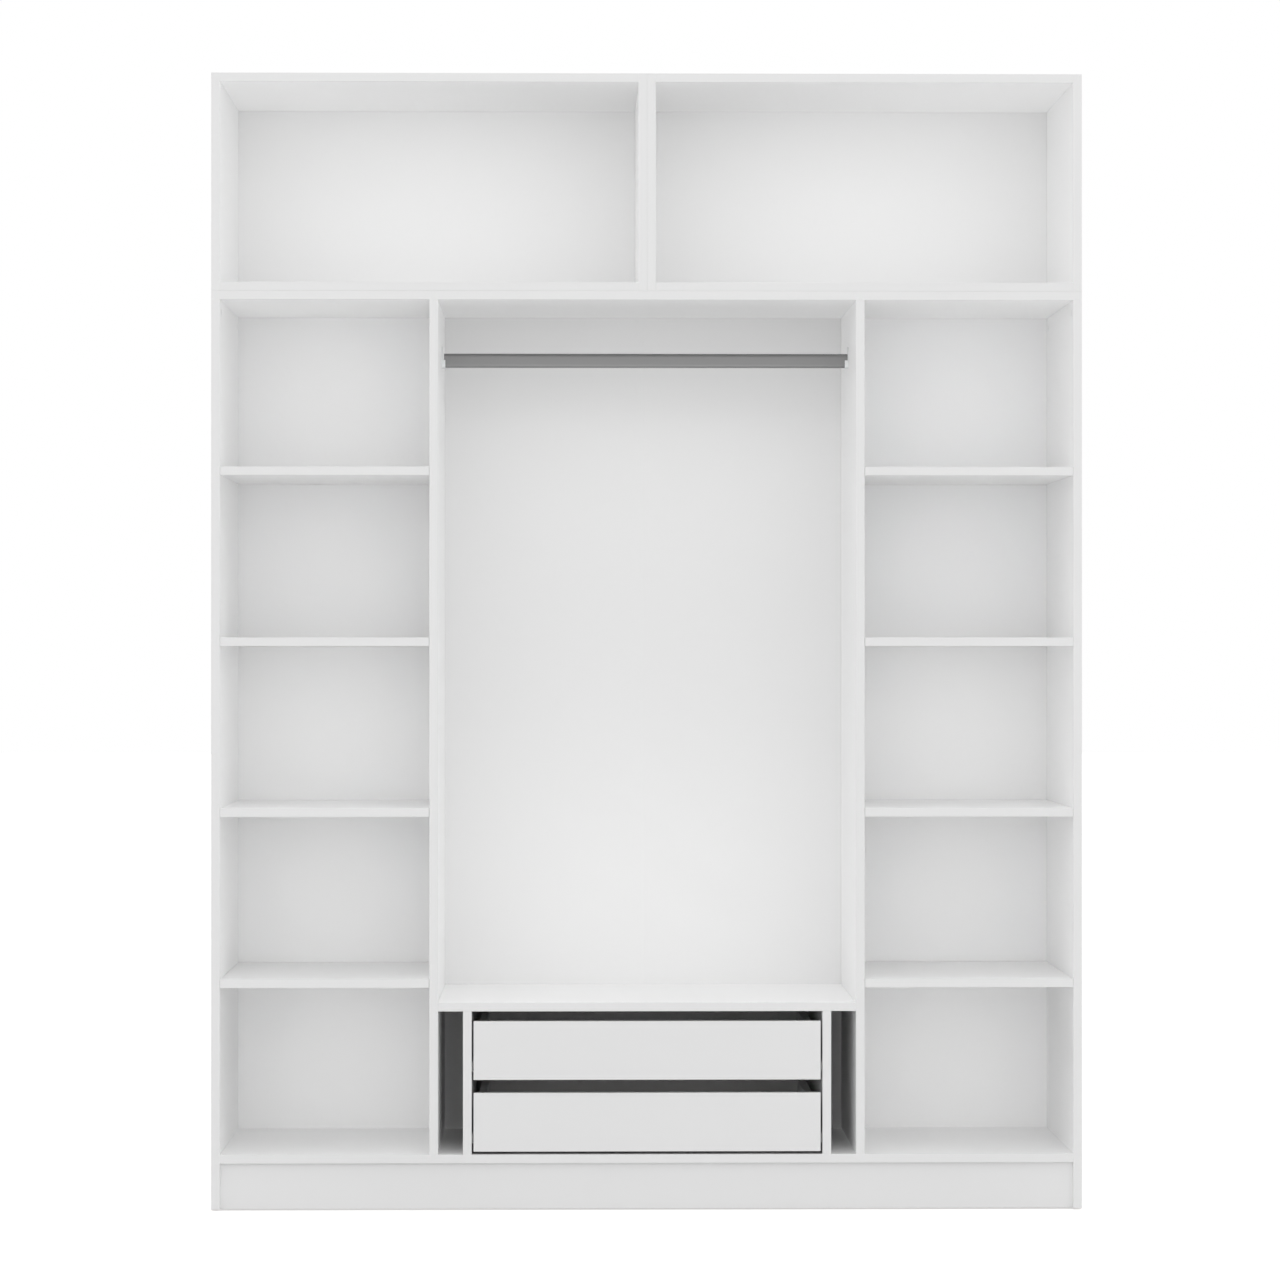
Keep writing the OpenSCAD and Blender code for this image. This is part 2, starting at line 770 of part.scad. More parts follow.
module box_top(b) {
    color(white)
        difference() {
            board([b * box_x - box_half_w, front_y, box_lid_z],
                  [b * box_x + box_half_w, rear_y, total_h],
                  [for (s = [-1, 1]) box_lid_joint(b, s)]);
            sheet_groove([b * box_x - box_half_w - cut, box_lid_z - cut],
                         [b * box_x + box_half_w + cut, box_lid_z + groove_depth]);
        }
}

module box_bottom(b) {
    color(white)
        difference() {
            board([b * box_x - box_half_w, front_y, main_h],
                  [b * box_x + box_half_w, rear_y, box_floor_z],
                  [for (s = [-1, 1]) box_floor_joint(b, s)]);
            sheet_groove([b * box_x - box_half_w - cut, box_floor_z - groove_depth],
                         [b * box_x + box_half_w + cut, box_floor_z + cut]);
            screw_bores(box_screws(b), box_screw_l);
        }
}

module box_back(b) {
    into = groove_depth - edge_gap;
    color(sheet_white)
        block([b * box_x - box_half_w - into, sheet_y, box_floor_z - into],
              [b * box_x + box_half_w + into, sheet_y + sheet_t, box_lid_z + into]);
}

module left_box_outer_side() box_side(-1, -1);

module left_box_inner_side() box_side(-1, 1);

module left_box_top() box_top(-1);

module left_box_bottom() box_bottom(-1);

module left_box_back() box_back(-1);

module right_box_outer_side() box_side(1, 1);

module right_box_inner_side() box_side(1, -1);

module right_box_top() box_top(1);

module right_box_bottom() box_bottom(1);

module right_box_back() box_back(1);

// Screws from the right box into the left one, which stop inside its board
module box_connectors() {
    color(steel)
        screws(link_screws, box_screw_l);
}

module cam_locks() {
    color(zinc)
        at_offsets(cabinet_joints, 5) cam_lock($t_board);
}

module cam_bolts() {
    color(steel)
        at_offsets(cabinet_joints, 5) cam_bolt();
}

module wooden_dowels() {
    color(beech)
        at_offsets(cabinet_joints, 6) peg(dowel_d, -hold, dowel_l - hold, dowel_chamfer);
}

module shelf_pins() {
    color(steel)
        for (s = [-1, 1])
            for (e = [-1, 1])
                for (p = shelf_pin_points(s, e))
                    aim(p[0], p[1], ax_z) peg(pin_d, -pin_l / 2, pin_l / 2, peg_chamfer);
}

module wood_screws() {
    color(steel)
        for (s = [-1, 1]) {
            screws(concat(partition_screws(s), divider_screws(s), back_screws(s)));
            screws(box_screws(s), box_screw_l);
        }
}

module floor_glides() {
    color(nylon)
        for (p = glide_points)
            translate(p) {
                translate([0, 0, -glide_h])
                    cylinder(d1 = glide_d - 2, d2 = glide_d, h = glide_h);
                cylinder(d = nail_d, h = nail_l);
            }
}

// Quarter of a bent sheet, about the middle of the bend
module bend(quarter) {
    rotate(90 * quarter)
        intersection() {
            difference() {
                circle(bend_out);
                circle(bend_r);
            }
            square(bend_out);
        }
}

// Section of a cabinet runner: web on the partition, track below and lip above
module cabinet_section() {
    lip_top = lip_z + steel_t;
    translate([0, bend_r]) square([steel_t, lip_z - 2 * bend_r]);
    translate([bend_out, bend_r]) bend(2);
    translate([bend_out, -steel_t]) square([track_w - bend_out, steel_t]);
    translate([bend_out, lip_top - bend_out]) bend(1);
    translate([bend_out, lip_z]) square([lip_w - bend_out, steel_t]);
}

// Section of a drawer runner: foot under the drawer side, web beside it and flange outwards
module drawer_section() {
    flange_top = flange_z + steel_t;
    foot = -track_rise - steel_t;
    translate([web_in + bend_out, foot]) square([foot_flange_w - bend_out, steel_t]);
    translate([web_in + bend_out, foot + bend_out]) bend(2);
    translate([web_in, foot + bend_out]) square([steel_t, flange_top - foot - 2 * bend_out]);
    translate([runner_gap - bend_out, flange_top - bend_out]) bend(0);
    translate([flange_tip, flange_z]) square([runner_gap - bend_out - flange_tip, steel_t]);
}

// An extrusion along Y on the left partition, from a section of distance against height
module along_partition(y, l, n) {
    translate([-bay_x, y + l, track_z(n)])
        rotate([90, 0, 0])
            linear_extrude(l)
                children();
}

module cabinet_runner(n) {
    difference() {
        union() {
            along_partition(runner_y, drawer_l, n) cabinet_section();
            translate([-bay_x, 0, track_z(n)]) {
                block([bend_out, stop_y - steel_t, -steel_t / 2], [track_w, stop_y, stop_h]);
                translate([0, front_axle_y, front_axle_z]) {
                    peg(axle_d, steel_t / 2, steel_t + 2 * side_play + roller_w + rivet_t,
                        rivet_chamfer);
                    translate([steel_t + 2 * side_play + roller_w, 0, 0])
                        peg(rivet_d, 0, rivet_t, rivet_chamfer);
                }
            }
        }
        translate([-bay_x, runner_y, track_z(n)])
            block([steel_t, -cut, lip_z - bend_r],
                  [runner_gap, lip_cutback, lip_z + steel_t + cut]);
        screw_bores(partition_screws(-1));
    }
}

module cabinet_runners() {
    color(zinc)
        for (m = [0, 1])
            mirror([m, 0, 0])
                for (n = [0, 1])
                    cabinet_runner(n);
}

// Nylon roller with a chamfered rim and a dished side, along X from 0
module roller() {
    bore = axle_d / 2 + axle_gap;
    hub = bore + hub_wall;
    rim = roller_r - rim_wall;
    side = [
        [bore, 0], [hub, 0], [hub + dish_slope, dish_depth], [rim - dish_slope, dish_depth],
        [rim, rim_recess], [roller_r - rim_chamfer, rim_recess],
        [roller_r, rim_recess + rim_chamfer]
    ];
    turned(concat(side, [for (i = [len(side) - 1:-1:0]) [side[i].x, roller_w - side[i].y]]));
}

module front_rollers(n) {
    color(nylon)
        for (m = [0, 1])
            mirror([m, 0, 0])
                translate([-bay_x + steel_t + side_play, front_axle_y,
                           track_z(n) + front_axle_z])
                    roller();
}

module rear_rollers(n) {
    color(nylon)
        for (m = [0, 1])
            mirror([m, 0, 0])
                translate([-drawer_x - steel_t - side_play - roller_w, rear_axle_y,
                           track_z(n) + rear_axle_z])
                    roller();
}

module lower_front_rollers() front_rollers(0);

module upper_front_rollers() front_rollers(1);

module lower_rear_rollers() rear_rollers(0);

module upper_rear_rollers() rear_rollers(1);

// Drawers
module drawer_floor_groove(n, half_w, y) {
    block([-half_w, y, floor_z(n)],
          [half_w, drawer_back_y + cut, floor_z(n) + sheet_t + groove_gap]);
}

module drawer_front(n) {
    half_w = bay_x - front_side_gap;
    color(white)
        difference() {
            board([-half_w, front_y, front_z(n)], [half_w, front_y + board_t, front_z(n) + front_h],
                  [], [for (s = [-1, 1]) drawer_front_joint(n, s)]);
            drawer_floor_groove(n, drawer_in_x + drawer_groove,
                                front_y + board_t - drawer_groove);
        }
}

// Drawer side, whose lower outer edge is cut off at the bend of the runner
module drawer_side(n, s) {
    inner = s * drawer_in_x;
    outer = s * drawer_x;
    ease = bend_r + bend_gap;
    color(white)
        difference() {
            board([min(inner, outer), front_y + board_t, side_z(n)],
                  [max(inner, outer), drawer_back_y, side_z(n) + drawer_side_h],
                  [drawer_front_joint(n, s)], [drawer_back_joint(n, s)]);
            drawer_floor_groove(n, drawer_in_x + drawer_groove, front_y);
            translate([outer, drawer_back_y + cut, side_z(n)])
                rotate([90, 45, 0])
                    linear_extrude(drawer_l + 2 * cut)
                        square(sqrt(2) * ease, center = true);
            screw_bores(runner_foot_screws(n, s));
        }
}

module drawer_back(n) {
    color(white)
        difference() {
            board([-drawer_in_x, drawer_back_y - drawer_board_t, floor_z(n) + sheet_t],
                  [drawer_in_x, drawer_back_y, side_z(n) + drawer_side_h],
                  [for (s = [-1, 1]) drawer_back_joint(n, s)]);
            screw_bores(drawer_floor_screws(n));
        }
}

module drawer_bottom(n) {
    half_w = drawer_in_x + drawer_groove - edge_gap;
    color(sheet_white)
        difference() {
            block([-half_w, front_y + board_t - drawer_groove + edge_gap, floor_z(n)],
                  [half_w, drawer_back_y, floor_z(n) + sheet_t]);
            screw_bores(drawer_floor_screws(n));
        }
}

module drawer_runner(n) {
    difference() {
        union() {
            along_partition(front_y + board_t + edge_gap, drawer_l - edge_gap, n)
                drawer_section();
            translate([-bay_x + web_in, rear_axle_y, track_z(n) + rear_axle_z])
                mirror([1, 0, 0]) {
                    peg(axle_d, -steel_t / 2, 2 * side_play + roller_w + rivet_t, rivet_chamfer);
                    translate([2 * side_play + roller_w, 0, 0])
                        peg(rivet_d, 0, rivet_t, rivet_chamfer);
                }
        }
        screw_bores(runner_foot_screws(n, -1));
    }
}

module drawer_runners(n) {
    color(zinc)
        for (m = [0, 1])
            mirror([m, 0, 0]) drawer_runner(n);
}

module drawer_fittings(n) {
    joints = [for (s = [-1, 1]) each [drawer_front_joint(n, s), drawer_back_joint(n, s)]];
    color(zinc) {
        at_offsets(joints, 5) cam_lock($t_board);
        at_offsets(joints, 5) cam_bolt();
        for (s = [-1, 1])
            screws(runner_foot_screws(n, s));
        screws(drawer_floor_screws(n));
    }
}

module lower_drawer_front() drawer_front(0);

module lower_drawer_left_side() drawer_side(0, -1);

module lower_drawer_right_side() drawer_side(0, 1);

module lower_drawer_back() drawer_back(0);

module lower_drawer_bottom() drawer_bottom(0);

module lower_drawer_runners() drawer_runners(0);

module lower_drawer_fittings() drawer_fittings(0);

module upper_drawer_front() drawer_front(1);

module upper_drawer_left_side() drawer_side(1, -1);

module upper_drawer_right_side() drawer_side(1, 1);

module upper_drawer_back() drawer_back(1);

module upper_drawer_bottom() drawer_bottom(1);

module upper_drawer_runners() drawer_runners(1);

module upper_drawer_fittings() drawer_fittings(1);

left_side_panel();
right_side_panel();
main_top_panel();
bottom_panel();
plinth_board();
rear_plinth_board();
plinth_cross_boards();
left_divider();
right_divider();
left_shelf_1();
left_shelf_2();
left_shelf_3();
left_shelf_4();
right_shelf_1();
right_shelf_2();
right_shelf_3();
right_shelf_4();
drawer_top_shelf();
left_drawer_partition();
right_drawer_partition();
left_back_panel();
right_back_panel();
hanging_rail();
rail_brackets();
left_box_outer_side();
left_box_inner_side();
left_box_top();
left_box_bottom();
left_box_back();
right_box_outer_side();
right_box_inner_side();
right_box_top();
right_box_bottom();
right_box_back();
box_connectors();
cam_locks();
cam_bolts();
wooden_dowels();
shelf_pins();
wood_screws();
floor_glides();
cabinet_runners();
lower_front_rollers();
upper_front_rollers();
lower_drawer_front();
lower_drawer_left_side();
lower_drawer_right_side();
lower_drawer_back();
lower_drawer_bottom();
lower_drawer_runners();
lower_drawer_fittings();
lower_rear_rollers();
upper_drawer_front();
upper_drawer_left_side();
upper_drawer_right_side();
upper_drawer_back();
upper_drawer_bottom();
upper_drawer_runners();
upper_drawer_fittings();
upper_rear_rollers();
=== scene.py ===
# %% [markdown]
# Open wardrobe in white board.
# The real one is flat-pack furniture: eighteen millimetre boards pulled together by cam locks,
# thin hardboard backs in grooves, an oval hanging rail and two drawers on roller runners.
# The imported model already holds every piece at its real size. This lesson dresses it: the boards
# get the eased and banded edges that catch the light, the hardware gets its small details, and
# each finish is made from nodes. So the first step only loads the model and keeps its box.

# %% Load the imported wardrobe
import json
import math

import bmesh
import bpy
from mathutils import Matrix, Vector


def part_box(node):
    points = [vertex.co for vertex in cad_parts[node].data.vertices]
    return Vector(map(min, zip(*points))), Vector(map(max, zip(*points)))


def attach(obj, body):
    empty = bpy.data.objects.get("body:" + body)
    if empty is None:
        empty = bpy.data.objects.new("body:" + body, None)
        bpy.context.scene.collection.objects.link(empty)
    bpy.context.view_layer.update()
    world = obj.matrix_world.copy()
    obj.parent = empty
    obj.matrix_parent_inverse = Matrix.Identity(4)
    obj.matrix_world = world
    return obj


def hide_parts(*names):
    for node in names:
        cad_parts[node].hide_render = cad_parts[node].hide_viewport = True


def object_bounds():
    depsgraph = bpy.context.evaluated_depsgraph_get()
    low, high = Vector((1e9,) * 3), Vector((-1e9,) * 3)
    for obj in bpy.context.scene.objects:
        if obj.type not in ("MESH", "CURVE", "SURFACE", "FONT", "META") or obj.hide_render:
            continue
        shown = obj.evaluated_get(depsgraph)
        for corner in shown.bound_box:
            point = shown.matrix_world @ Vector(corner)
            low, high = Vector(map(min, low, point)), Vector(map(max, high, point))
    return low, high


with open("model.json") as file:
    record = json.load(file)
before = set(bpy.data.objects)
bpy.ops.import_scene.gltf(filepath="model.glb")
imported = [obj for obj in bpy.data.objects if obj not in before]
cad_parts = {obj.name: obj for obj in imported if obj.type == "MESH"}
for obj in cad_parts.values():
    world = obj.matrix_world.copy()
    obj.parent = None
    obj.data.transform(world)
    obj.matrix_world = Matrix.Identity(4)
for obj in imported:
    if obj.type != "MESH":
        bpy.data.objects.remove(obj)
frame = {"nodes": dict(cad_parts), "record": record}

cad_low, cad_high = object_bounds()
BODY_OF = {}
for body, names in frame["record"]["behaviour"]["bodies"].items():
    for name in names:
        BODY_OF[name] = body
SLOT_OF = {part["node"]: part["material_slot"] for part in frame["record"]["subparts"]}
print("pieces:", len(frame["nodes"]), "box:", [round(v, 3) for v in cad_high - cad_low])

# %% [markdown]
# The camera comes first, because everything is judged through it.
# It could be placed by eye, but a product photo of straight boards gives its own answer: the
# places of the board edges, front and back, fix the lens and the spot to a fraction of a pixel.
# It stands nine metres off, a little to the left, and looks a touch to the right and up.

# %% Camera
FRAME_PX = 1280
FOCAL_PX = 4356.0
CAMERA_X = -0.1553
CAMERA_HEIGHT = 1.155
CAMERA_DISTANCE = 9.0
TURN_RIGHT = math.radians(0.894)
TILT_UP = math.radians(0.15)
SENSOR_W = 36.0
FAR_CLIP = 200.0

camera_data = bpy.data.cameras.new("camera")
camera_data.sensor_width = SENSOR_W
camera_data.lens = SENSOR_W * FOCAL_PX / FRAME_PX
camera_data.clip_end = FAR_CLIP
camera = bpy.data.objects.new("camera", camera_data)
camera.location = (CAMERA_X, cad_low.y - CAMERA_DISTANCE, CAMERA_HEIGHT)
camera.rotation_euler = (math.pi / 2 + TILT_UP, 0.0, -TURN_RIGHT)
bpy.context.scene.collection.objects.link(camera)
bpy.context.scene.camera = camera
print("lens:", round(camera_data.lens, 1), "mm")

# %% [markdown]
# A finish is a small graph of nodes. Wiring each node by hand hides what the graph says, so one
# class wraps a socket and lets plain arithmetic add the Math nodes: 1 - mask * 0.2 reads as it
# works.

# %% Shader arithmetic
class Signal:
    """A number or colour on its way through the nodes of a graph."""

    def __init__(self, graph, socket):
        self.graph = graph
        self.socket = socket

    def _math(self, operation, first, second=None):
        values = {0: first} if second is None else {0: first, 1: second}
        return self.graph.node("ShaderNodeMath", {"operation": operation}, values)

    def __add__(self, other):
        return self._math("ADD", self, other)

    def __sub__(self, other):
        return self._math("SUBTRACT", self, other)

    def __mul__(self, other):
        return self._math("MULTIPLY", self, other)

    def __radd__(self, other):
        return self._math("ADD", other, self)

    def __rsub__(self, other):
        return self._math("SUBTRACT", other, self)

    def __rmul__(self, other):
        return self._math("MULTIPLY", other, self)

    def __lt__(self, other):
        return self._math("LESS_THAN", self, other)

    def size(self):
        return self._math("ABSOLUTE", self)

    def at_least(self, other):
        return self._math("MAXIMUM", self, other)


print("made the class", Signal.__name__)

# %% [markdown]
# Every other node comes from one method, which takes the node's type, its settings, and the
# values or links of its sockets. The same class serves the finishes and the sky. Colours are
# mixed by a Mix node, because a Math node would turn them grey.

# %% Graphs of nodes
class Graph:
    """The nodes of a material or of the sky, added with the values and links of their sockets."""

    def __init__(self, owner):
        owner.use_nodes = True
        self.nodes = owner.node_tree.nodes
        self.links = owner.node_tree.links

    def set(self, node, values):
        for name, value in values.items():
            socket = node.inputs[name]
            if isinstance(value, Signal):
                self.links.new(value.socket, socket)
            else:
                socket.default_value = value

    def node(self, kind, settings, values, output=0):
        made = self.nodes.new(kind)
        for name, value in settings.items():
            setattr(made, name, value)
        self.set(made, values)
        return Signal(self, made.outputs[output])

    def ramp(self, factor, low, high, first=0.0, last=1.0):
        """A number that goes from first to last as the factor goes from low to high."""
        return self.node("ShaderNodeMapRange", {},
                         {"Value": factor, "From Min": low, "From Max": high,
                          "To Min": first, "To Max": last})

    def mix(self, factor, first, second):
        made = self.nodes.new("ShaderNodeMix")
        made.data_type = "RGBA"
        colour_inputs = [s for s in made.inputs if s.type == "RGBA"]
        self.links.new(factor.socket, made.inputs["Factor"])
        for socket, value in zip(colour_inputs, (first, second)):
            if isinstance(value, Signal):
                self.links.new(value.socket, socket)
            else:
                socket.default_value = (*value, 1.0)
        return Signal(self, next(s for s in made.outputs if s.type == "RGBA"))


print("made the class", Graph.__name__)

# %% [markdown]
# A finish is a graph that ends in one shader. Its noise reads Object coordinates, so a pattern has
# one scale on every piece. Noise could be used as it comes, but its values crowd round a half, so
# it is stretched from the span where nearly all of them lie, or from the core of that span.

# %% Finishes
NOISE_SPAN = (0.2, 0.8)
NOISE_CORE = (0.3, 0.7)


class Finish(Graph):
    """A material whose noise and bump lie on Object coordinates."""

    def __init__(self, name, **constants):
        self.material = bpy.data.materials.new(name)
        super().__init__(self.material)
        self.shader = self.nodes["Principled BSDF"]
        self.set(self.shader, constants)
        self.place = self.node("ShaderNodeTexCoord", {}, {}, "Object")

    def stretched(self, scale):
        return self.node("ShaderNodeMapping", {}, {"Vector": self.place, "Scale": scale})

    def noise(self, scale, detail=2.0, roughness=0.5, vector=None):
        """Noise whose features lie about 1 / scale metres apart."""
        return self.node(
            "ShaderNodeTexNoise", {},
            {"Vector": vector or self.place, "Scale": scale, "Detail": detail,
             "Roughness": roughness})

    def bump(self, height, depth):
        """Bump that rises by depth, in metres, as the height goes from 0 to 1."""
        self.set(self.shader, {"Normal": self.node(
            "ShaderNodeBump", {}, {"Height": height, "Distance": depth}, "Normal")})

    def wear(self, **values):
        """Feeds the shader's own sockets, named with _ for each space, as in Base_Color."""
        self.set(self.shader, {name.replace("_", " "): value for name, value in values.items()})
        return self.material


def grey(value):
    return (value, value, value)


print("made the class", Finish.__name__)

# %% [markdown]
# White board is chipboard under a printed melamine film. The film isn't dead flat: the press
# plate leaves a pearl texture of shallow pits about a millimetre across, which breaks up
# reflections. A photo texture could carry it, but noise bump keeps its scale at any distance.
# The front edges have a glued band a millimetre thick, whose joint is a hair-fine grey line.

# %% White board and its edge band
WHITE_LEVEL = 0.86
CLOUDING = 0.012
BAND_T = 0.001
JOINT_LINE_W = 0.00018
JOINT_GREY = 0.56
FILM_DEPTH = 0.00001
FILM_ROUGHNESS = (0.40, 0.48)
BAND_DEPTH = 0.000006
BAND_ROUGHNESS = (0.34, 0.40)


def clouded_white(f, cloud):
    """White that wanders a little lighter and darker with the noise called cloud."""
    return f.mix(cloud, grey(WHITE_LEVEL - CLOUDING), grey(WHITE_LEVEL + CLOUDING))


def white_board():
    f = Finish("white_board", IOR=1.48)
    pearl = f.noise(scale=1100.0, roughness=0.6)
    depth = f.node("ShaderNodeSeparateXYZ", {}, {"Vector": f.place}, "Y")
    joint = (depth - (cad_low.y + BAND_T)).size() < JOINT_LINE_W
    film = clouded_white(f, f.noise(scale=2.3, detail=3.0))
    f.bump(pearl, FILM_DEPTH)
    return f.wear(Base_Color=f.mix(joint, film, grey(JOINT_GREY)),
                  Roughness=f.ramp(pearl, *NOISE_SPAN, *FILM_ROUGHNESS))


def white_band():
    f = Finish("white_edge_band", IOR=1.5)
    drawn = f.noise(scale=600.0)
    f.bump(drawn, BAND_DEPTH)
    return f.wear(Base_Color=clouded_white(f, f.noise(scale=3.0)),
                  Roughness=f.ramp(drawn, *NOISE_SPAN, *BAND_ROUGHNESS))


WHITE = white_board()
BAND = white_band()
print("made", WHITE.name, "and", BAND.name)

# %% [markdown]
# Where no band is glued, at the rear and under the sides, the raw chipboard shows: pale and brown
# flakes, fine dust between them and a few dark specks of bark. A cell texture gives the flakes,
# and two noises the dust and the specks, without any picture of wood.

# %% Raw chipboard
PALE_CHIP = (0.50, 0.37, 0.23)
BROWN_CHIP = (0.34, 0.23, 0.13)
WOOD_DUST = (0.58, 0.46, 0.31)
DARK_SPECK = (0.16, 0.10, 0.06)
FLAKES_PER_M = (420.0, 420.0, 260.0)
FLAKE_SPAN = (0.1, 0.8)
FLAKE_SHARE = 0.6
DUST_COVER = (0.0, 0.5)
SPECK_EDGE = (0.62, 0.70)
CHIPBOARD_DEPTH = 0.0003


def raw_chipboard():
    f = Finish("raw_chipboard", IOR=1.45, Roughness=0.85)
    flakes = f.node("ShaderNodeTexVoronoi", {"feature": "F1"},
                    {"Vector": f.stretched(FLAKES_PER_M), "Scale": 1.0}, "Distance")
    fine = f.noise(scale=900.0, detail=3.0, roughness=0.7)
    specks = f.ramp(f.noise(scale=380.0, detail=1.0, roughness=0.4), *SPECK_EDGE)
    chips = f.mix(f.ramp(flakes, *FLAKE_SPAN), PALE_CHIP, BROWN_CHIP)
    dusty = f.mix(f.ramp(fine, *NOISE_CORE, *DUST_COVER), chips, WOOD_DUST)
    f.bump(flakes * FLAKE_SHARE + fine * (1.0 - FLAKE_SHARE), CHIPBOARD_DEPTH)
    return f.wear(Base_Color=f.mix(specks, dusty, DARK_SPECK))


CHIPBOARD = raw_chipboard()
print("made", CHIPBOARD.name)

# %% [markdown]
# The backs and drawer bottoms are hardboard: brown fibre, pressed flat, which is left bare or
# lacquered white. The lacquer is flatter and duller than the melamine. The bare side is made of
# two noises: slow clouds for the tone of the pulp, and stretched, hair-thin ones for its fibres.

# %% Hardboard
LACQUER_DEPTH = 0.00001
LACQUER_ROUGHNESS = (0.52, 0.60)
DARK_PULP = (0.235, 0.135, 0.070)
BROWN_PULP = (0.295, 0.175, 0.095)
PALE_HAIR = (0.40, 0.27, 0.16)
HAIRS_PER_M = (240.0, 240.0, 900.0)
HAIR_SPAN = (0.55, 0.8)
HAIR_COVER = (0.0, 0.5)
HAIR_DEPTH = 0.00008
BARE_ROUGHNESS = (0.72, 0.82)


def white_hardboard():
    f = Finish("white_hardboard", IOR=1.45)
    fibre = f.noise(scale=700.0, detail=3.0, roughness=0.6)
    f.bump(fibre, LACQUER_DEPTH)
    return f.wear(Base_Color=clouded_white(f, f.noise(scale=1.7, detail=3.0)),
                  Roughness=f.ramp(fibre, *NOISE_SPAN, *LACQUER_ROUGHNESS))


def brown_hardboard():
    f = Finish("brown_hardboard", IOR=1.42)
    hair = f.noise(scale=1.0, detail=4.0, roughness=0.65, vector=f.stretched(HAIRS_PER_M))
    pulp = f.mix(f.noise(scale=5.0, detail=4.0, roughness=0.6), DARK_PULP, BROWN_PULP)
    f.bump(hair, HAIR_DEPTH)
    return f.wear(Base_Color=f.mix(f.ramp(hair, *HAIR_SPAN, *HAIR_COVER), pulp, PALE_HAIR),
                  Roughness=f.ramp(hair, *NOISE_CORE, *BARE_ROUGHNESS))


LACQUERED = white_hardboard()
BARE = brown_hardboard()
print("made", LACQUERED.name, "and", BARE.name)

# %% [markdown]
# The rail is satin grey, and its polish runs along it, so its noise is drawn out lengthwise. Its
# brackets, the runners and the cam locks are zinc-plated, with a faint cloudy spangle. A plain
# grey would do from afar, but near by it is the uneven roughness that looks like metal.

# %% Rail and zinc plate
RAIL_GREYS = (0.244, 0.28)
RAIL_LINES_PER_M = (3.0, 2600.0, 2600.0)
RAIL_LINE_SPAN = (0.25, 0.75)
RAIL_DEPTH = 0.000006
RAIL_ROUGHNESS = (0.36, 0.44)
DULL_ZINC = (0.71, 0.72, 0.73)
BRIGHT_ZINC = (0.83, 0.84, 0.84)
ZINC_DEPTH = 0.000005
ZINC_ROUGHNESS = (0.30, 0.42)


def satin_rail():
    f = Finish("satin_rail", Metallic=1.0)
    drawn = f.noise(scale=1.0, roughness=0.6, vector=f.stretched(RAIL_LINES_PER_M))
    f.bump(drawn, RAIL_DEPTH)
    dark, light = RAIL_GREYS
    return f.wear(Base_Color=f.mix(drawn, grey(dark), grey(light)),
                  Roughness=f.ramp(drawn, *RAIL_LINE_SPAN, *RAIL_ROUGHNESS))


def zinc_plate():
    f = Finish("zinc_plate", Metallic=1.0)
    spangle = f.noise(scale=220.0, detail=3.0, roughness=0.6)
    f.bump(f.noise(scale=2500.0), ZINC_DEPTH)
    return f.wear(Base_Color=f.mix(spangle, DULL_ZINC, BRIGHT_ZINC),
                  Roughness=f.ramp(spangle, *NOISE_CORE, *ZINC_ROUGHNESS))


RAIL = satin_rail()
ZINC = zinc_plate()
print("made", RAIL.name, "and", ZINC.name)

# %% [markdown]
# The screws are of darker steel. The rollers and glides are moulded in nylon, which is never quite
# white, and the dowels are turned from beech, whose grain is a fine noise between two browns.

# %% Screws, nylon and dowels
DARK_STEEL = (0.46, 0.46, 0.45)
LIGHT_STEEL = (0.58, 0.58, 0.56)
STEEL_ROUGHNESS = (0.28, 0.43)
NYLON_SHADE = (0.74, 0.74, 0.71)
NYLON_WHITE = (0.80, 0.80, 0.77)
NYLON_DEPTH = 0.00001
NYLON_ROUGHNESS = (0.42, 0.52)
DARK_BEECH = (0.52, 0.33, 0.17)
PALE_BEECH = (0.68, 0.48, 0.29)
BEECH_GRAIN_PER_M = (600.0, 600.0, 900.0)
BEECH_DEPTH = 0.00005


def screw_steel():
    f = Finish("screw_steel", Metallic=1.0)
    cloud = f.noise(scale=700.0)
    return f.wear(Base_Color=f.mix(cloud, DARK_STEEL, LIGHT_STEEL),
                  Roughness=f.ramp(cloud, *NOISE_CORE, *STEEL_ROUGHNESS))


def moulded_nylon():
    f = Finish("moulded_nylon", IOR=1.53)
    skin = f.noise(scale=1500.0)
    f.bump(skin, NYLON_DEPTH)
    return f.wear(Base_Color=f.mix(f.noise(scale=60.0), NYLON_SHADE, NYLON_WHITE),
                  Roughness=f.ramp(skin, *NOISE_SPAN, *NYLON_ROUGHNESS))


def beech():
    f = Finish("beech", IOR=1.45, Roughness=0.62)
    grain = f.noise(scale=1.0, detail=3.0, roughness=0.6,
                    vector=f.stretched(BEECH_GRAIN_PER_M))
    f.bump(grain, BEECH_DEPTH)
    return f.wear(Base_Color=f.mix(grain, DARK_BEECH, PALE_BEECH))


SCREW = screw_steel()
NYLON = moulded_nylon()
BEECH = beech()
print("made", SCREW.name + ",", NYLON.name, "and", BEECH.name)

# %% [markdown]
# On a real board no edge is perfectly sharp: the band is scraped off at a small angle, and that
# narrow slope is what draws the bright or dark line between two boards. A Bevel modifier would
# also cut the holes and grooves, so here only the long outline of each board is bevelled, on a
# merged copy of its solid. The copy then stands for the solid, with its own finish on each face.
# Its faces are shaded flat: smooth shading would bend the light on a large face towards its bores.

# %% Boards with eased edges
EASING = 0.0007
EASING_STEPS = 2
STANDS_LOW = 0.01
WELD = 0.00001
PARALLEL = math.radians(1.0)
SQUARE_ON = 0.9


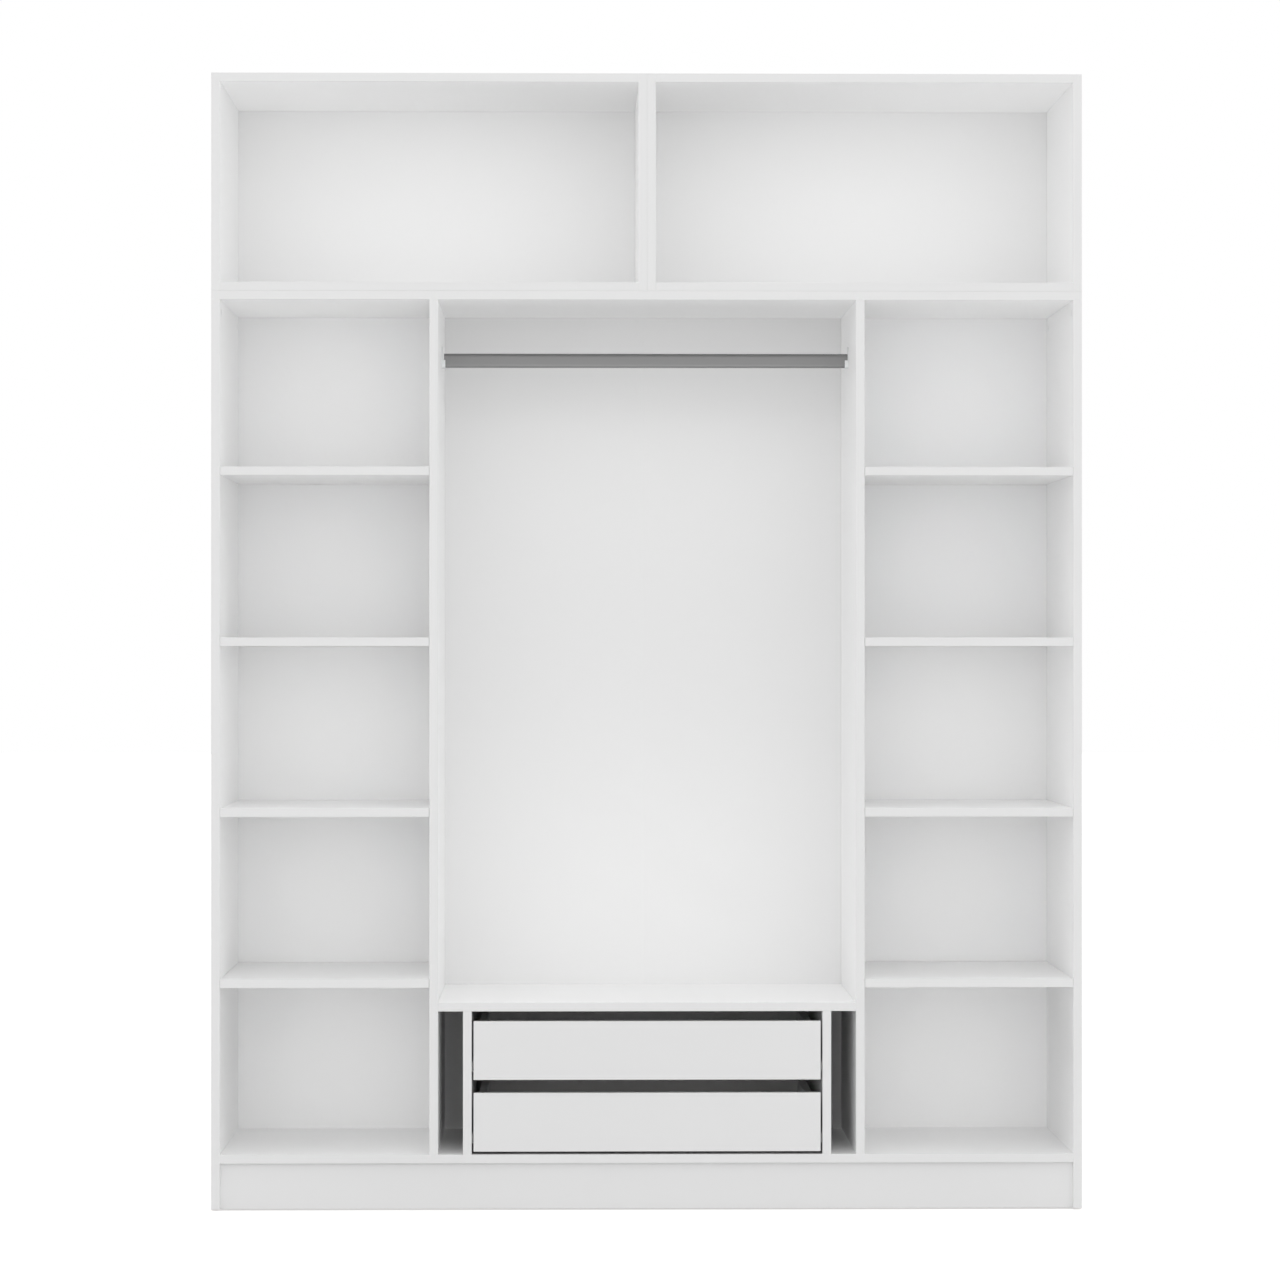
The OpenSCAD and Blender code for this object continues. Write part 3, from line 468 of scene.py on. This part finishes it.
def on_outline(edge, low, high):
    """True for an edge that runs along one of the twelve edges of the board's box."""
    touching = 0
    for axis in range(3):
        ends = [v.co[axis] for v in edge.verts]
        for bound in (low[axis], high[axis]):
            if all(abs(end - bound) < WELD * 2 for end in ends):
                touching += 1
    return touching == 2


def merged_copy(node):
    bm = bmesh.new()
    bm.from_mesh(frame["nodes"][node].data)
    bmesh.ops.remove_doubles(bm, verts=bm.verts, dist=WELD)
    bmesh.ops.dissolve_limit(bm, angle_limit=PARALLEL, verts=bm.verts, edges=bm.edges)
    return bm


def dressed(bm, node, finishes):
    """Turns a bmesh into the piece that stands for a node, on the node's body."""
    mesh = bpy.data.meshes.new(node + "_dressed")
    bm.to_mesh(mesh)
    bm.free()
    for finish in finishes:
        mesh.materials.append(finish)
    piece = bpy.data.objects.new(mesh.name, mesh)
    bpy.context.scene.collection.objects.link(piece)
    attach(piece, BODY_OF[node])
    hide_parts(node)
    return piece


def eased_board(node, finishes, choose, easing=EASING, steps=EASING_STEPS):
    """A board with its outline eased; choose gives each face the number of its finish."""
    bm = merged_copy(node)
    low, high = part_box(node)
    outline = [edge for edge in bm.edges if on_outline(edge, low, high)]
    bmesh.ops.bevel(bm, geom=outline, offset=easing, offset_type="OFFSET", segments=steps,
                    profile=0.5, affect="EDGES", material=-1, clamp_overlap=True)
    for face in bm.faces:
        face.smooth = False
        face.material_index = choose(face, low, high)
    return dressed(bm, node, finishes)


def board_finish(face, low, high):
    """Band on the front edge, bare chipboard behind and where it stands, film elsewhere."""
    middle = face.calc_center_median()
    if face.normal.y < -SQUARE_ON and middle.y < low.y + BAND_T:
        return 1
    if face.normal.y > SQUARE_ON and middle.y > high.y - BAND_T:
        return 2
    if face.normal.z < -SQUARE_ON and middle.z < STANDS_LOW:
        return 2
    return 0


BOARDS = [name for name, slot in SLOT_OF.items()
          if slot == "white_board" and "drawer_front" not in name]
for name in BOARDS:
    eased_board(name, [WHITE, BAND, CHIPBOARD], board_finish)
print("eased boards:", len(BOARDS))

# %% [markdown]
# A drawer front is banded on all four edges and filmed on both faces, so its edges take the band
# and its large faces the film.

# %% Drawer fronts
HALF_TURNED = 0.5
DRAWER_FRONTS = ("lower_drawer_front", "upper_drawer_front")


def front_finish(face, low, high):
    return 0 if abs(face.normal.y) > HALF_TURNED else 1


for name in DRAWER_FRONTS:
    eased_board(name, [WHITE, BAND], front_finish)
print("drawer fronts:", len(DRAWER_FRONTS))

# %% [markdown]
# The backs have two sides: lacquer towards the room and bare fibre behind. The drawer bottoms
# are lacquered on both, for the gap between the fronts is a neutral grey in the photo, which bare
# fibre would tint. The rims are eased a little, and the two halves of the back meet in one seam.

# %% Hardboard sheets
SEAM_EASING = 0.0004
SEAM_STEPS = 1


def bare_behind(face, low, high):
    return 1 if face.normal.y > HALF_TURNED else 0


def white_all_round(face, low, high):
    return 0


BACKS = ("left_back_panel", "right_back_panel", "left_box_back", "right_box_back")
DRAWER_BOTTOMS = ("lower_drawer_bottom", "upper_drawer_bottom")
for name in BACKS:
    eased_board(name, [LACQUERED, BARE], bare_behind, SEAM_EASING, SEAM_STEPS)
for name in DRAWER_BOTTOMS:
    eased_board(name, [LACQUERED], white_all_round, SEAM_EASING, SEAM_STEPS)
print("backs:", len(BACKS), "drawer bottoms:", len(DRAWER_BOTTOMS))

# %% [markdown]
# The hardware keeps its solids, which are already true, and only gets its finishes. The record
# names a material slot for each piece, so the finish is looked up by slot and not piece by piece.

# %% Hardware finishes
FINISH_OF_SLOT = {
    "rail_steel": RAIL, "zinc_steel": ZINC, "fastener_steel": SCREW,
    "white_nylon": NYLON, "beech": BEECH,
}
HARDWARE = [name for name in frame["nodes"] if SLOT_OF[name] in FINISH_OF_SLOT]
for name in HARDWARE:
    materials = frame["nodes"][name].data.materials
    materials.clear()
    materials.append(FINISH_OF_SLOT[SLOT_OF[name]])
print("hardware dressed:", len(HARDWARE))

# %% [markdown]
# The solids of the wood screws are plain: a countersunk head, a shank and a point. A real one is
# known by its cross recess. A Boolean with a cross would work, but cutting the head's disc with
# eight planes and sinking the five faces of the cross gives the same recess with clean corners.
# One fault is left here. The extrusion is handed the faces alone, so it leaves them on top, where
# they cover the recess. Handed their edges as well, it would take them down.
# Each length is made once, head up, and copied to the places that the solids show.

# %% One cross-recessed screw
HEAD_SIDES = 24
SCREW_HEAD_R = 0.0035
SCREW_CORE_R = 0.00175
SCREW_TIP_R = 0.0003
SCREW_LENGTHS = (0.015, 0.030)
SCREW_TIP_L = 0.003
ARM_HALF_W = 0.0005
ARM_REACH = 0.0020
RECESS_DEPTH = 0.0015
RECESS_TAPER = 0.55
ON_PLANE = 1e-7


def cut_through(bm, point, direction):
    geom = bm.verts[:] + bm.edges[:] + bm.faces[:]
    bmesh.ops.bisect_plane(bm, geom=geom, dist=ON_PLANE, plane_co=point, plane_no=direction)


def drawn_in(bm, edges, depth, ratio):
    """Extrudes a rim of edges down the screw, scales it by ratio and returns the new rim."""
    grown = bmesh.ops.extrude_edge_only(bm, edges=edges)["geom"]
    verts = [g for g in grown if isinstance(g, bmesh.types.BMVert)]
    bmesh.ops.translate(bm, verts=verts, vec=(0.0, 0.0, -depth))
    bmesh.ops.scale(bm, verts=verts, vec=(ratio, ratio, 1.0))
    return [g for g in grown if isinstance(g, bmesh.types.BMEdge)]


def cross_screw(length):
    bm = bmesh.new()
    bmesh.ops.create_circle(bm, cap_ends=True, segments=HEAD_SIDES, radius=SCREW_HEAD_R)
    for reach in (ARM_HALF_W, ARM_REACH):
        for axis in (Vector((1, 0, 0)), Vector((0, 1, 0))):
            for side in (-1, 1):
                cut_through(bm, axis * side * reach, axis)
    cross = []
    for face in bm.faces:
        x, y = (abs(v) for v in face.calc_center_median().xy)
        if min(x, y) < ARM_HALF_W and max(x, y) < ARM_REACH:
            cross.append(face)
    sunk = bmesh.ops.extrude_face_region(bm, geom=cross)["geom"]
    floor_verts = [g for g in sunk if isinstance(g, bmesh.types.BMVert)]
    bmesh.ops.translate(bm, verts=floor_verts, vec=(0.0, 0.0, -RECESS_DEPTH))
    bmesh.ops.scale(bm, verts=floor_verts, vec=(RECESS_TAPER, RECESS_TAPER, 1.0))
    rim = [edge for edge in bm.edges if edge.is_boundary]
    neck = SCREW_HEAD_R - SCREW_CORE_R
    rim = drawn_in(bm, rim, neck, SCREW_CORE_R / SCREW_HEAD_R)
    rim = drawn_in(bm, rim, length - neck - SCREW_TIP_L, 1.0)
    rim = drawn_in(bm, rim, SCREW_TIP_L, SCREW_TIP_R / SCREW_CORE_R)
    bmesh.ops.contextual_create(bm, geom=rim)
    bmesh.ops.recalc_face_normals(bm, faces=bm.faces)
    mesh = bpy.data.meshes.new("cross_screw")
    bm.to_mesh(mesh)
    bm.free()
    return mesh


SCREW_MESHES = {length: cross_screw(length) for length in SCREW_LENGTHS}
print("screws made:", [f"{length * 1000:.0f} mm" for length in SCREW_MESHES])

# %% [markdown]
# One node holds many screws, so they have to be told apart first. Each screw's solid is one island
# of the mesh: corners that edges join. Its box tells its axis, and the end with the wider ring of
# corners is its head. Their places could also be listed by hand, but then a change in the solids
# would leave the dressed screws behind.

# %% Screws found in the solids
SLACK = 0.0002


def islands(bm):
    """The corners of each separate shell, in the mesh's own order."""
    seen = set()
    found = []
    for start in bm.verts:
        if start in seen:
            continue
        seen.add(start)
        group, unvisited = [], [start]
        while unvisited:
            vert = unvisited.pop()
            group.append(vert)
            for edge in vert.link_edges:
                other = edge.other_vert(vert)
                if other not in seen:
                    seen.add(other)
                    unvisited.append(other)
        found.append(group)
    return found


def span(group):
    low = Vector([min(v.co[a] for v in group) for a in range(3)])
    high = Vector([max(v.co[a] for v in group) for a in range(3)])
    return low, high


def reach_at(group, axis, place, middle):
    """The greatest squared distance from the axis, of the corners at one end."""
    ring = [v.co for v in group if abs(v.co[axis] - place) < SLACK]
    return max((co - middle).length_squared - (co[axis] - middle[axis]) ** 2 for co in ring)


def head_of(group, axis):
    """The centre of a screw's head, and the way the head faces."""
    low, high = span(group)
    middle = (low + high) / 2
    head_high = (reach_at(group, axis, high[axis], middle)
                 > reach_at(group, axis, low[axis], middle))
    head, facing = middle.copy(), Vector((0, 0, 0))
    head[axis] = high[axis] if head_high else low[axis]
    facing[axis] = 1 if head_high else -1
    return head, facing


bm = merged_copy("wood_screws")
print("islands among the wood screws:", len(islands(bm)))
bm.free()

# %% [markdown]
# Now each screw's island is swapped for the made screw of its length, turned to face the same way.
# Axles and bolts in the same node are carried over as they are. They stay smooth where they are
# round, and every corner sharper than thirty degrees is kept sharp.

# %% Screws in their places
SHARP_ANGLE = math.radians(30.0)


def with_cross_screws(node):
    bm = merged_copy(node)
    placed = 0
    for group in islands(bm):
        low, high = span(group)
        size = high - low
        axis = max(range(3), key=lambda a: size[a])
        lengths = [n for n in SCREW_MESHES if abs(size[axis] - n) < SLACK]
        if not lengths or sorted(size)[1] > 2 * SCREW_HEAD_R + SLACK:
            continue
        head, outwards = head_of(group, axis)
        bmesh.ops.delete(bm, geom=group, context="VERTS")
        turn = Vector((0, 0, 1)).rotation_difference(outwards).to_matrix().to_4x4()
        before = set(bm.verts)
        bm.from_mesh(SCREW_MESHES[lengths[0]])
        fresh = [v for v in bm.verts if v not in before]
        bmesh.ops.transform(bm, matrix=Matrix.Translation(head) @ turn, verts=fresh)
        placed += 1
    for edge in bm.edges:
        edge.smooth = edge.calc_face_angle(math.pi) < SHARP_ANGLE
    print(node, "screws:", placed)
    return dressed(bm, node, [FINISH_OF_SLOT[SLOT_OF[node]]])


for name in ("wood_screws", "box_connectors", "lower_drawer_fittings", "upper_drawer_fittings"):
    with_cross_screws(name)

# %% [markdown]
# The floor is pale and takes the shadow. A white strong enough to look pure white would also light
# the wardrobe from below. So it glows only for the rays that look at it, from the camera or off a
# shiny piece, which Light Path tells from the rays that carry light.

# %% Floor
FLOOR_HALF = 40.0
FLOOR_WHITE = 0.65
FLOOR_GLOW = 0.62
WHITE_FOR = ("Is Camera Ray", "Is Glossy Ray", "Is Transmission Ray")


def looked_at(graph):
    """1 for a ray that looks at the floor or sky, 0 for one that carries their light."""
    rays = [graph.node("ShaderNodeLightPath", {}, {}, kind) for kind in WHITE_FOR]
    return rays[0].at_least(rays[1]).at_least(rays[2])


def pale_floor():
    f = Finish("pale_floor", Roughness=0.9)
    glow = f.mix(looked_at(f), grey(0.0), grey(FLOOR_GLOW))
    return f.wear(Base_Color=(*grey(FLOOR_WHITE), 1.0),
                  Emission_Color=glow, Emission_Strength=1.0)


bm = bmesh.new()
bmesh.ops.create_grid(bm, x_segments=1, y_segments=1, size=FLOOR_HALF)
floor_mesh = bpy.data.meshes.new("floor")
bm.to_mesh(floor_mesh)
bm.free()
floor_mesh.materials.append(pale_floor())
floor = bpy.data.objects.new("floor", floor_mesh)
bpy.context.scene.collection.objects.link(floor)
print("floor:", 2 * FLOOR_HALF, "m wide")

# %% [markdown]
# The sky gives most of the light. It is weaker overhead than at the horizon, or the top of the
# wardrobe, which faces all of it, would burn out. Where it is looked at, it is pure white, as the
# background of a product photo is. The Standard view leaves these greys as they are.

# %% Sky
SKY_LEVEL = 1.33
ZENITH_SHARE = 0.6
PURE_WHITE = 1.0

sky = bpy.data.worlds.new("white_sky")
bpy.context.scene.world = sky
air = Graph(sky)
direction = air.node("ShaderNodeTexCoord", {}, {}, "Generated")
height = air.node("ShaderNodeSeparateXYZ", {}, {"Vector": direction}, "Z")
fading = air.ramp(height, 0.0, 1.0, SKY_LEVEL, SKY_LEVEL * ZENITH_SHARE)
level = air.ramp(looked_at(air), 0.0, 1.0, fading, PURE_WHITE)
air.set(air.nodes["Background"], {"Color": (*grey(PURE_WHITE), 1.0), "Strength": level})
bpy.context.scene.view_settings.view_transform = "Standard"
print("sky:", SKY_LEVEL, "at the horizon,", round(SKY_LEVEL * ZENITH_SHARE, 2), "overhead")

# %% [markdown]
# Under the sky alone the bays go grey, because each shelf shades the next. A photographer
# would hold a diffuser before each bay to fill it. Here that is a flat lamp in the opening,
# turned inwards and hidden from the camera, so it lifts the inside and leaves the front edges.
# A limited spread, as from a honeycomb grid, keeps it off the boards next to it.
# Its size comes from the boards around the opening, its strength from the greys in the photo.

# %% A lamp in an opening
LAMP_SETBACK = 0.01
LAMP_SPREAD = math.radians(90.0)


def fill_light(left, right, below, above, strength, start=0.0, end=1.0):
    """A flat lamp between four boards, named by node, over a share of the opening's height."""
    floor_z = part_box(below)[1].z
    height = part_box(above)[0].z - floor_z
    left_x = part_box(left)[1].x
    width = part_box(right)[0].x - left_x
    data = bpy.data.lights.new("fill_over_" + below, "AREA")
    data.shape = "RECTANGLE"
    data.size, data.size_y = width, height * (end - start)
    data.energy = strength * math.pi * data.size * data.size_y
    data.spread = LAMP_SPREAD
    data.cycles.use_multiple_importance_sampling = False
    lamp = bpy.data.objects.new(data.name, data)
    lamp.location = (left_x + width / 2, cad_low.y + LAMP_SETBACK,
                     floor_z + height * (start + end) / 2)
    lamp.rotation_euler = (math.pi / 2, 0.0, 0.0)
    lamp.visible_camera = False
    lamp.visible_glossy = False
    bpy.context.scene.collection.objects.link(lamp)


print("lamps stand", LAMP_SETBACK * 1000, "mm inside the front edges")

# %% [markdown]
# Each compartment of the side bays gets one lamp. The tall middle bay gets three, one over the
# other, because in the photo its back is darkest at the top and brightest near the shelf. The
# slots beside the drawers and the gaps over their fronts get small ones, or they would be black.

# %% Fill light in the openings
SIDE_FILL = 0.44
MIDDLE_FILLS = [0.136, 0.081, 0.165]
BOX_FILL = 0.297
SLOT_FILL = 0.32
GAP_FILLS = [0.14, 0.12]
SHELVES = {side: [f"{side}_shelf_{n}" for n in (1, 2, 3, 4)] for side in ("left", "right")}

for side, left, right in (("left", "left_side_panel", "left_divider"),
                          ("right", "right_divider", "right_side_panel")):
    levels = ["bottom_panel", *SHELVES[side], "main_top_panel"]
    for below, above in zip(levels, levels[1:]):
        fill_light(left, right, below, above, SIDE_FILL)
for n, strength in enumerate(MIDDLE_FILLS):
    fill_light("left_divider", "right_divider", "drawer_top_shelf", "main_top_panel",
               strength, n / len(MIDDLE_FILLS), (n + 1) / len(MIDDLE_FILLS))
fill_light("left_box_outer_side", "left_box_inner_side", "left_box_bottom", "left_box_top",
           BOX_FILL)
fill_light("right_box_inner_side", "right_box_outer_side", "right_box_bottom", "right_box_top",
           BOX_FILL)
fill_light("left_divider", "left_drawer_partition", "bottom_panel", "drawer_top_shelf",
           SLOT_FILL)
fill_light("right_drawer_partition", "right_divider", "bottom_panel", "drawer_top_shelf",
           SLOT_FILL)
levels = ["lower_drawer_front", "upper_drawer_front", "drawer_top_shelf"]
for below, above, strength in zip(levels, levels[1:], GAP_FILLS):
    fill_light("left_drawer_partition", "right_drawer_partition", below, above, strength)
print("openings filled:", len(bpy.data.lights))

# %% [markdown]
# The photo shows the sides, tops and undersides in the bays in one even tone. Soft suns from the
# left, the right, above and below give that. Light linking lets each reach only the boards named
# with it, and only the drawer housing shades it, so the slots beside the drawers stay dark.
# Boards under several linked suns can come out different from one render to the next. So
# no board is named twice: it gets the one sun for the face that the camera sees. The lamps and
# suns are also sampled without multiple importance, for the same steadiness.

# %% Suns that reach only named boards
SUN_ANGLE = math.radians(20.0)
HOUSING = ["drawer_top_shelf", "left_drawer_partition", "right_drawer_partition"]


def dressed_group(name, nodes):
    group = bpy.data.collections.new(name)
    for node in nodes:
        group.objects.link(bpy.data.objects[node + "_dressed"])
    return group


SHADING = dressed_group("drawer_housing", HOUSING)


def soft_sun(name, travels, strength, lit):
    """A sun that reaches only the boards lit, given by node."""
    data = bpy.data.lights.new(name, "SUN")
    data.energy = strength * math.pi
    data.angle = SUN_ANGLE
    data.cycles.use_multiple_importance_sampling = False
    sun = bpy.data.objects.new(name, data)
    sun.rotation_euler = Vector(travels).to_track_quat("-Z", "Y").to_euler()
    sun.visible_glossy = False
    sun.light_linking.receiver_collection = dressed_group(name + "_lights", lit)
    sun.light_linking.blocker_collection = SHADING
    bpy.context.scene.collection.objects.link(sun)


print("boards that shade the suns:", len(HOUSING))

# %% [markdown]
# The walls on the left of each bay get a sun that travels left, and their mirror images one that
# travels right. The camera sees the tops of the shelves below it and the undersides of those
# above, so each shelf gets a sun from that side. The strengths come from the greys in the photo.

# %% Even light on the sides and shelves
WALL_SUNS = {"side": 0.119, "middle": 0.101, "box": 0.131}
UNDER_SUNS = {"side": 0.068, "middle": 0.146, "box": 0.169}
TOP_SUNS = {"side": 0.086, "middle": 0.152}
LEFT_WALLS = {
    "side": ["left_side_panel"],
    "middle": ["left_divider"],
    "box": ["left_box_outer_side", "right_box_inner_side"],
}
OTHER_HAND = {"left": "right", "right": "left"}
SIDE_SHELVES = SHELVES["left"] + SHELVES["right"]
SEEN_FROM_ABOVE = [name for name in SIDE_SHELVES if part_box(name)[1].z < CAMERA_HEIGHT]
SEEN_FROM_BELOW = [name for name in SIDE_SHELVES if name not in SEEN_FROM_ABOVE]


def mirrored(nodes):
    """The names of the same boards on the other side of the wardrobe."""
    hands = [node.split("_")[0] for node in nodes]
    return [node.replace(hand, OTHER_HAND[hand], 1) for node, hand in zip(nodes, hands)]


for bay, strength in WALL_SUNS.items():
    soft_sun(f"{bay}_sun_to_left", (-1, 0, 0), strength, LEFT_WALLS[bay])
    soft_sun(f"{bay}_sun_to_right", (1, 0, 0), strength, mirrored(LEFT_WALLS[bay]))
soft_sun("side_sun_up", (0, 0, 1), UNDER_SUNS["side"], SEEN_FROM_BELOW)
soft_sun("middle_sun_up", (0, 0, 1), UNDER_SUNS["middle"], ["main_top_panel"])
soft_sun("box_sun_up", (0, 0, 1), UNDER_SUNS["box"], ["left_box_top", "right_box_top"])
soft_sun("side_sun_down", (0, 0, -1), TOP_SUNS["side"], ["bottom_panel", *SEEN_FROM_ABOVE])
soft_sun("middle_sun_down", (0, 0, -1), TOP_SUNS["middle"], ["drawer_top_shelf"])
print("suns:", len([x for x in bpy.data.lights if x.type == "SUN"]))
